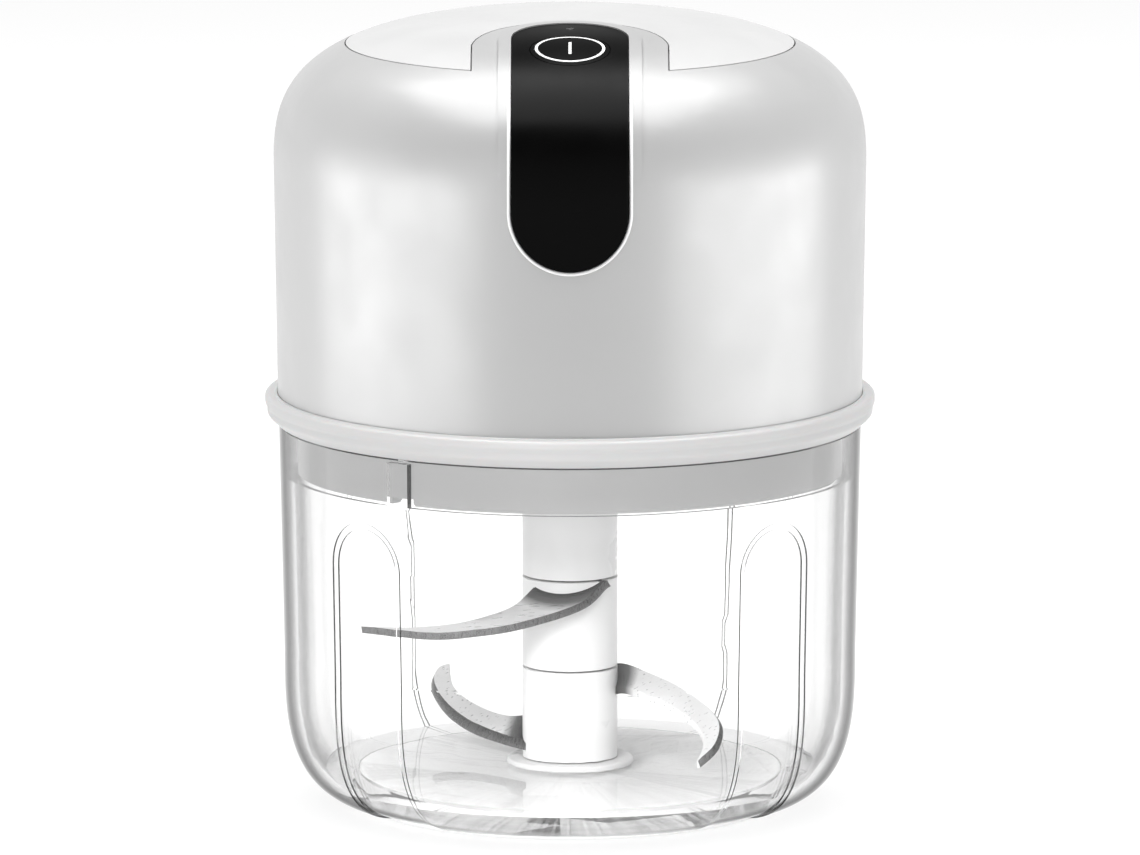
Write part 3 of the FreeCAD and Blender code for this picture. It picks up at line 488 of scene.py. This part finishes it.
def wing(edge, hollow, level, steepness):
    """A blade wing as a closed grid: flat below, ground to a thin edge above."""
    stations = 56
    half = BLADE_THICK / 2 * steepness
    rims = list(zip(smooth_line(hollow, stations), smooth_line(edge, stations)))[:-1]
    points = []
    for back, front in rims:
        width = max((front - back).length, 0.001)
        flat_end = max(1.0 - GRIND / width, 0.35)
        across = [0.0, 0.03, flat_end * 0.5, flat_end, 1.0]
        top = [half * 0.85, half, half, half, EDGE_THICK * steepness - half]
        for t, height in zip(across, top):
            at = back.lerp(front, t)
            points.append((at.x, at.y, level(at) + height))
        for t in (1.0, 0.5, 0.0):
            at = back.lerp(front, t)
            points.append((at.x, at.y, level(at) - half))
    ring = 8
    faces = [tuple(range(ring)), tuple(range(len(points) - ring, len(points)))]
    ground = []
    for i in range(len(rims) - 1):
        for j in range(ring):
            k = (j + 1) % ring
            if j in (3, 4):
                ground.append(len(faces))
            faces.append((i * ring + j, i * ring + k, (i + 1) * ring + k, (i + 1) * ring + j))
    return points, faces, ground


def eye(inner, outer, level, half):
    """The ring of the blade that the hub clamps."""
    count = 64
    points = []
    for s in range(count):
        angle = 2 * pi * s / count
        for radius, side in ((inner, -half), (inner, half), (outer, half), (outer, -half)):
            at = Vector((radius * cos(angle), radius * sin(angle)))
            points.append((at.x, at.y, level(at) + side))
    faces = []
    for s in range(count):
        here = s * 4
        there = (s + 1) % count * 4
        for j in range(4):
            k = (j + 1) % 4
            faces.append((here + j, there + j, there + k, here + k))
    return points, faces, []


def blade_piece(name, *meshes):
    """One piece from several closed grids, with their ground faces marked."""
    points = []
    faces = []
    ground = []
    for more_points, more_faces, more_ground in meshes:
        ground += [len(faces) + i for i in more_ground]
        faces += [tuple(len(points) + i for i in face) for face in more_faces]
        points += more_points
    return piece(name, points, faces, "blade_steel", "blade_unit", ground=ground)


def make_lower_blade():
    """Two swept wings pressed from one steeply pitched plate."""
    def level(at):
        return 13.3 + 0.62 * at.x + 0.55 * at.y
    steepness = sqrt(1 + 0.62 ** 2 + 0.55 ** 2)
    right = wing([(3.0, 4.0), (7.0, 3.0), (11.7, -2.9), (16.2, -9.5), (19.8, -16.3), (21.5, -21.3),
                  (20.6, -24.9), (17.5, -26.2)],
                 [(4.0, -1.5), (7.5, -2.6), (12.5, -9.3), (16.2, -15.3), (18.3, -20.0), (18.7, -23.5),
                  (17.5, -26.2)], level, steepness)
    left = wing([(-3.5, -3.0), (-5.9, -2.7), (-13.6, 6.7), (-18.0, 14.3), (-20.4, 21.2), (-19.9, 24.1),
                 (-17.7, 23.4)],
                [(-4.0, 2.0), (-8.9, 5.4), (-13.6, 11.5), (-17.0, 18.0), (-17.7, 23.4)], level, steepness)
    ring = eye(2.7, 5.4, level, BLADE_THICK / 2 * steepness)
    blade = blade_piece("ground_blade_lower", right, left, ring)
    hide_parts("blade_lower")


def make_upper_blade():
    """One long wing bent down from a flat eye."""
    def level(at):
        sloping = 34.6 + 0.129 * at.x + 0.55 * at.y
        return 32.5 - 0.5 * (sqrt((32.5 - sloping) ** 2 + 0.3) + (32.5 - sloping))
    long_wing = wing([(5.8, -4.2), (2.1, -8.8), (-6.6, -11.3), (-13.4, -11.7), (-20.0, -11.1), (-30.3, -7.9)],
                     [(-4.6, -3.6), (-7.7, -7.3), (-11.2, -8.8), (-16.7, -9.7), (-23.3, -9.3), (-30.3, -7.9)],
                     level, sqrt(1 + 0.129 ** 2 + 0.55 ** 2))
    ring = eye(2.7, 5.8, lambda at: 32.5, BLADE_THICK / 2)
    blade = blade_piece("ground_blade_upper", long_wing, ring)
    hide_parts("blade_upper")


# ---- Trim on the head ------------------------------------------------------------------------

def surface(name):
    """A CAD node's skin, in millimetres, for laying things on."""
    mesh = NODES[name].data
    corners = [v.co / MM for v in mesh.vertices]
    return BVHTree.FromPolygons(corners, [tuple(p.vertices) for p in mesh.polygons])


def lay(skin, start, heading):
    """Where a ray from start first meets the skin."""
    place = skin.ray_cast(Vector(start), Vector(heading).normalized())[0]
    if place is None:
        raise ValueError(f"nothing under {tuple(start)}")
    return place


def printed(name, skin, origin, right, up, rows, closed, slot, body, material):
    """A printed mark: rows of (left, right) plan places, laid on a skin as a thin band."""
    out = right.cross(up)
    points = []
    for row in rows:
        for x, y in row:
            place = lay(skin, origin + right * x + up * y + out * 20, -out)
            points += [place - out * 0.08, place + out * 0.03]
    faces = []
    count = len(rows)
    for i in range(count if closed else count - 1):
        here = i * 4
        there = (i + 1) % count * 4
        for a, b in ((0, 1), (1, 3), (3, 2), (2, 0)):
            faces.append((here + a, here + b, there + b, there + a))
    if not closed:
        faces += [(0, 1, 3, 2), tuple((count - 1) * 4 + i for i in (0, 1, 3, 2))]
    return piece(name, points, faces, slot, body, material)


def make_button_mark():
    """A plain ring with a bar: the standard sign for a push switch."""
    press = next(j for j in frame["joints"] if j["name"] == "button_press")
    out = -Vector(press["axis"])
    right = Vector((1, 0, 0))
    up = out.cross(right)
    low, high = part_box("button_cap")
    centre = (low + high) / 2 / MM
    skin = surface("button_cap")
    stroke = 0.4
    ring_r = 4.75
    ring = []
    for s in range(128):
        angle = 2 * pi * s / 128
        ring.append([(r * cos(angle), r * sin(angle)) for r in (ring_r - stroke / 2, ring_r + stroke / 2)])
    bar = []
    for s in range(13):
        y = -2.3 + 4.6 * s / 12
        bar.append([(-stroke / 2, y), (stroke / 2, y)])
    white = MATERIALS["print_white"]
    printed("mark_ring", skin, centre, right, up, ring, True, "button_black", "button", white)
    printed("mark_bar", skin, centre, right, up, bar, False, "button_black", "button", white)


def tube_along(path, radius, sides=10):
    """A closed-ended round bead along a path of (place, outward) pairs."""
    points = []
    count = len(path)
    for i, (place, out) in enumerate(path):
        along = (path[min(i + 1, count - 1)][0] - path[max(i - 1, 0)][0]).normalized()
        side = along.cross(out).normalized()
        for s in range(sides):
            angle = 2 * pi * s / sides
            points.append(place + (side * cos(angle) + out * sin(angle)) * radius)
    faces = [tuple(range(sides)), tuple(range((count - 1) * sides, count * sides))]
    for i in range(count - 1):
        for s in range(sides):
            t = (s + 1) % sides
            faces.append((i * sides + s, i * sides + t, (i + 1) * sides + t, (i + 1) * sides + s))
    return points, faces


def make_strip_lip():
    """The white bead that frames the black strip on the front wall."""
    low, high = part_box("strip_trim")
    half = high.x / MM
    reach = half + 0.36
    centre_z = low.z / MM + half
    skin = surface("head_shell")
    top_z = 107.0
    places = []
    for s in range(25):
        places.append((reach, top_z + (centre_z - top_z) * s / 24))
    for s in range(1, 64):
        angle = pi * s / 64
        places.append((reach * cos(angle), centre_z - reach * sin(angle)))
    for s in range(25):
        places.append((-reach, centre_z + (top_z - centre_z) * s / 24))
    path = []
    for x, z in places:
        place = lay(skin, (x, -60.0, z), (0, 1, 0))
        out = Vector((place.x, place.y, 0)).normalized()
        path.append((place, out))
    piece("strip_lip", *tube_along(path, 0.26), "top_plate_white", "head", MATERIALS["lip_white"])


make_seal()
make_pad()
make_flap()
make_lower_blade()
make_upper_blade()
make_button_mark()
make_strip_lip()


# ---- Camera, floor and light -----------------------------------------------------------------

def make_camera():
    """A long lens from a little above, square to the front."""
    data = bpy.data.cameras.new("camera")
    data.lens = 402.0
    data.sensor_width = 36.0
    data.clip_start = 0.1
    data.clip_end = 20.0
    camera = bpy.data.objects.new("camera", data)
    camera.location = (0.0, -1.8, 0.3594)
    target = Vector((0.0, 0.0, 0.0542))
    camera.rotation_euler = (target - camera.location).to_track_quat("-Z", "Y").to_euler()
    bpy.context.scene.collection.objects.link(camera)
    bpy.context.scene.camera = camera


def make_floor():
    """A plain white floor, just under the pad."""
    size = 8.0
    low = -0.0001
    mesh = bpy.data.meshes.new("floor")
    mesh.from_pydata([(-size, -size, low), (size, -size, low), (size, size, low), (-size, size, low)], [],
                     [(0, 1, 2, 3)])
    shader = Shader("studio_floor")
    shader.principled((0.36, 0.36, 0.36), 0.9, Emission_Strength=0.64, Emission_Color=WHITE,
                      Specular_IOR_Level=0.1)
    mesh.materials.append(shader.material)
    floor = bpy.data.objects.new("floor", mesh)
    bpy.context.scene.collection.objects.link(floor)


def softbox(name, place, aim, width, height, power):
    """A rectangular lamp that the camera doesn't see."""
    data = bpy.data.lights.new(name, "AREA")
    data.shape = "RECTANGLE"
    data.size = width
    data.size_y = height
    data.energy = power
    lamp = bpy.data.objects.new(name, data)
    lamp.location = place
    lamp.rotation_euler = (Vector(aim) - Vector(place)).to_track_quat("-Z", "Y").to_euler()
    lamp.visible_camera = False
    bpy.context.scene.collection.objects.link(lamp)
    return lamp


def only(name, pieces):
    """A set of pieces that a lamp is limited to."""
    lit = bpy.data.collections.new(name)
    for piece_name in pieces:
        lit.objects.link(bpy.data.objects[piece_name])
    return lit


def make_world():
    """White at the horizon, fading to grey overhead."""
    world = bpy.data.worlds.new("studio")
    world.use_nodes = True
    tree = world.node_tree
    background = tree.nodes["Background"]
    split = tree.nodes.new("ShaderNodeSeparateXYZ")
    fade = tree.nodes.new("ShaderNodeMapRange")
    fade.inputs["From Max"].default_value = 0.45
    fade.inputs["To Min"].default_value = 1.0
    fade.inputs["To Max"].default_value = 0.15
    tree.links.new(tree.nodes.new("ShaderNodeTexCoord").outputs["Generated"], split.inputs[0])
    tree.links.new(split.outputs["Z"], fade.inputs["Value"])
    tree.links.new(fade.outputs["Result"], background.inputs["Color"])
    bpy.context.scene.world = world


def make_lamps():
    """A wide softbox overhead, and four that are kept off the clear wall."""
    head = only("lit_by_strips", ("head_shell", "top_plate", "strip_lip"))
    strip_z = 0.04
    for name, azimuth, power in (("left_strip", -70.0, 0.8), ("right_strip", 73.0, 0.76)):
        place = Vector((sin(radians(azimuth)), -cos(radians(azimuth)), 0.0)) * 0.35
        place.z = strip_z
        lamp = softbox(name, place, (0.0, 0.0, strip_z), 0.48, 0.078, power)
        lamp.light_linking.receiver_collection = head
    blade_unit = ("hub_lower", "hub_middle", "hub_upper", "ground_blade_lower", "ground_blade_upper")
    high = softbox("inside_fill", (-0.25, -0.8, 0.55), (0.0, 0.0, 0.02), 0.6, 0.4, 12.0)
    high.light_linking.receiver_collection = only(
        "lit_inside_the_bowl", blade_unit + ("hub_foot", "silicone_pad"))
    low = softbox("low_fill", (-0.2, -0.9, 0.18), (0.0, 0.0, 0.05), 0.4, 0.2, 2.2)
    low.light_linking.receiver_collection = only(
        "lit_from_low_down", blade_unit + ("base_cover", "silicone_seal"))
    softbox("top_softbox", (0.0, 0.0, 0.95), (0.0, 0.0, 0.06), 1.1, 1.1, 20.0)


make_camera()
make_floor()
make_world()
make_lamps()
bpy.context.scene.view_settings.view_transform = "Standard"
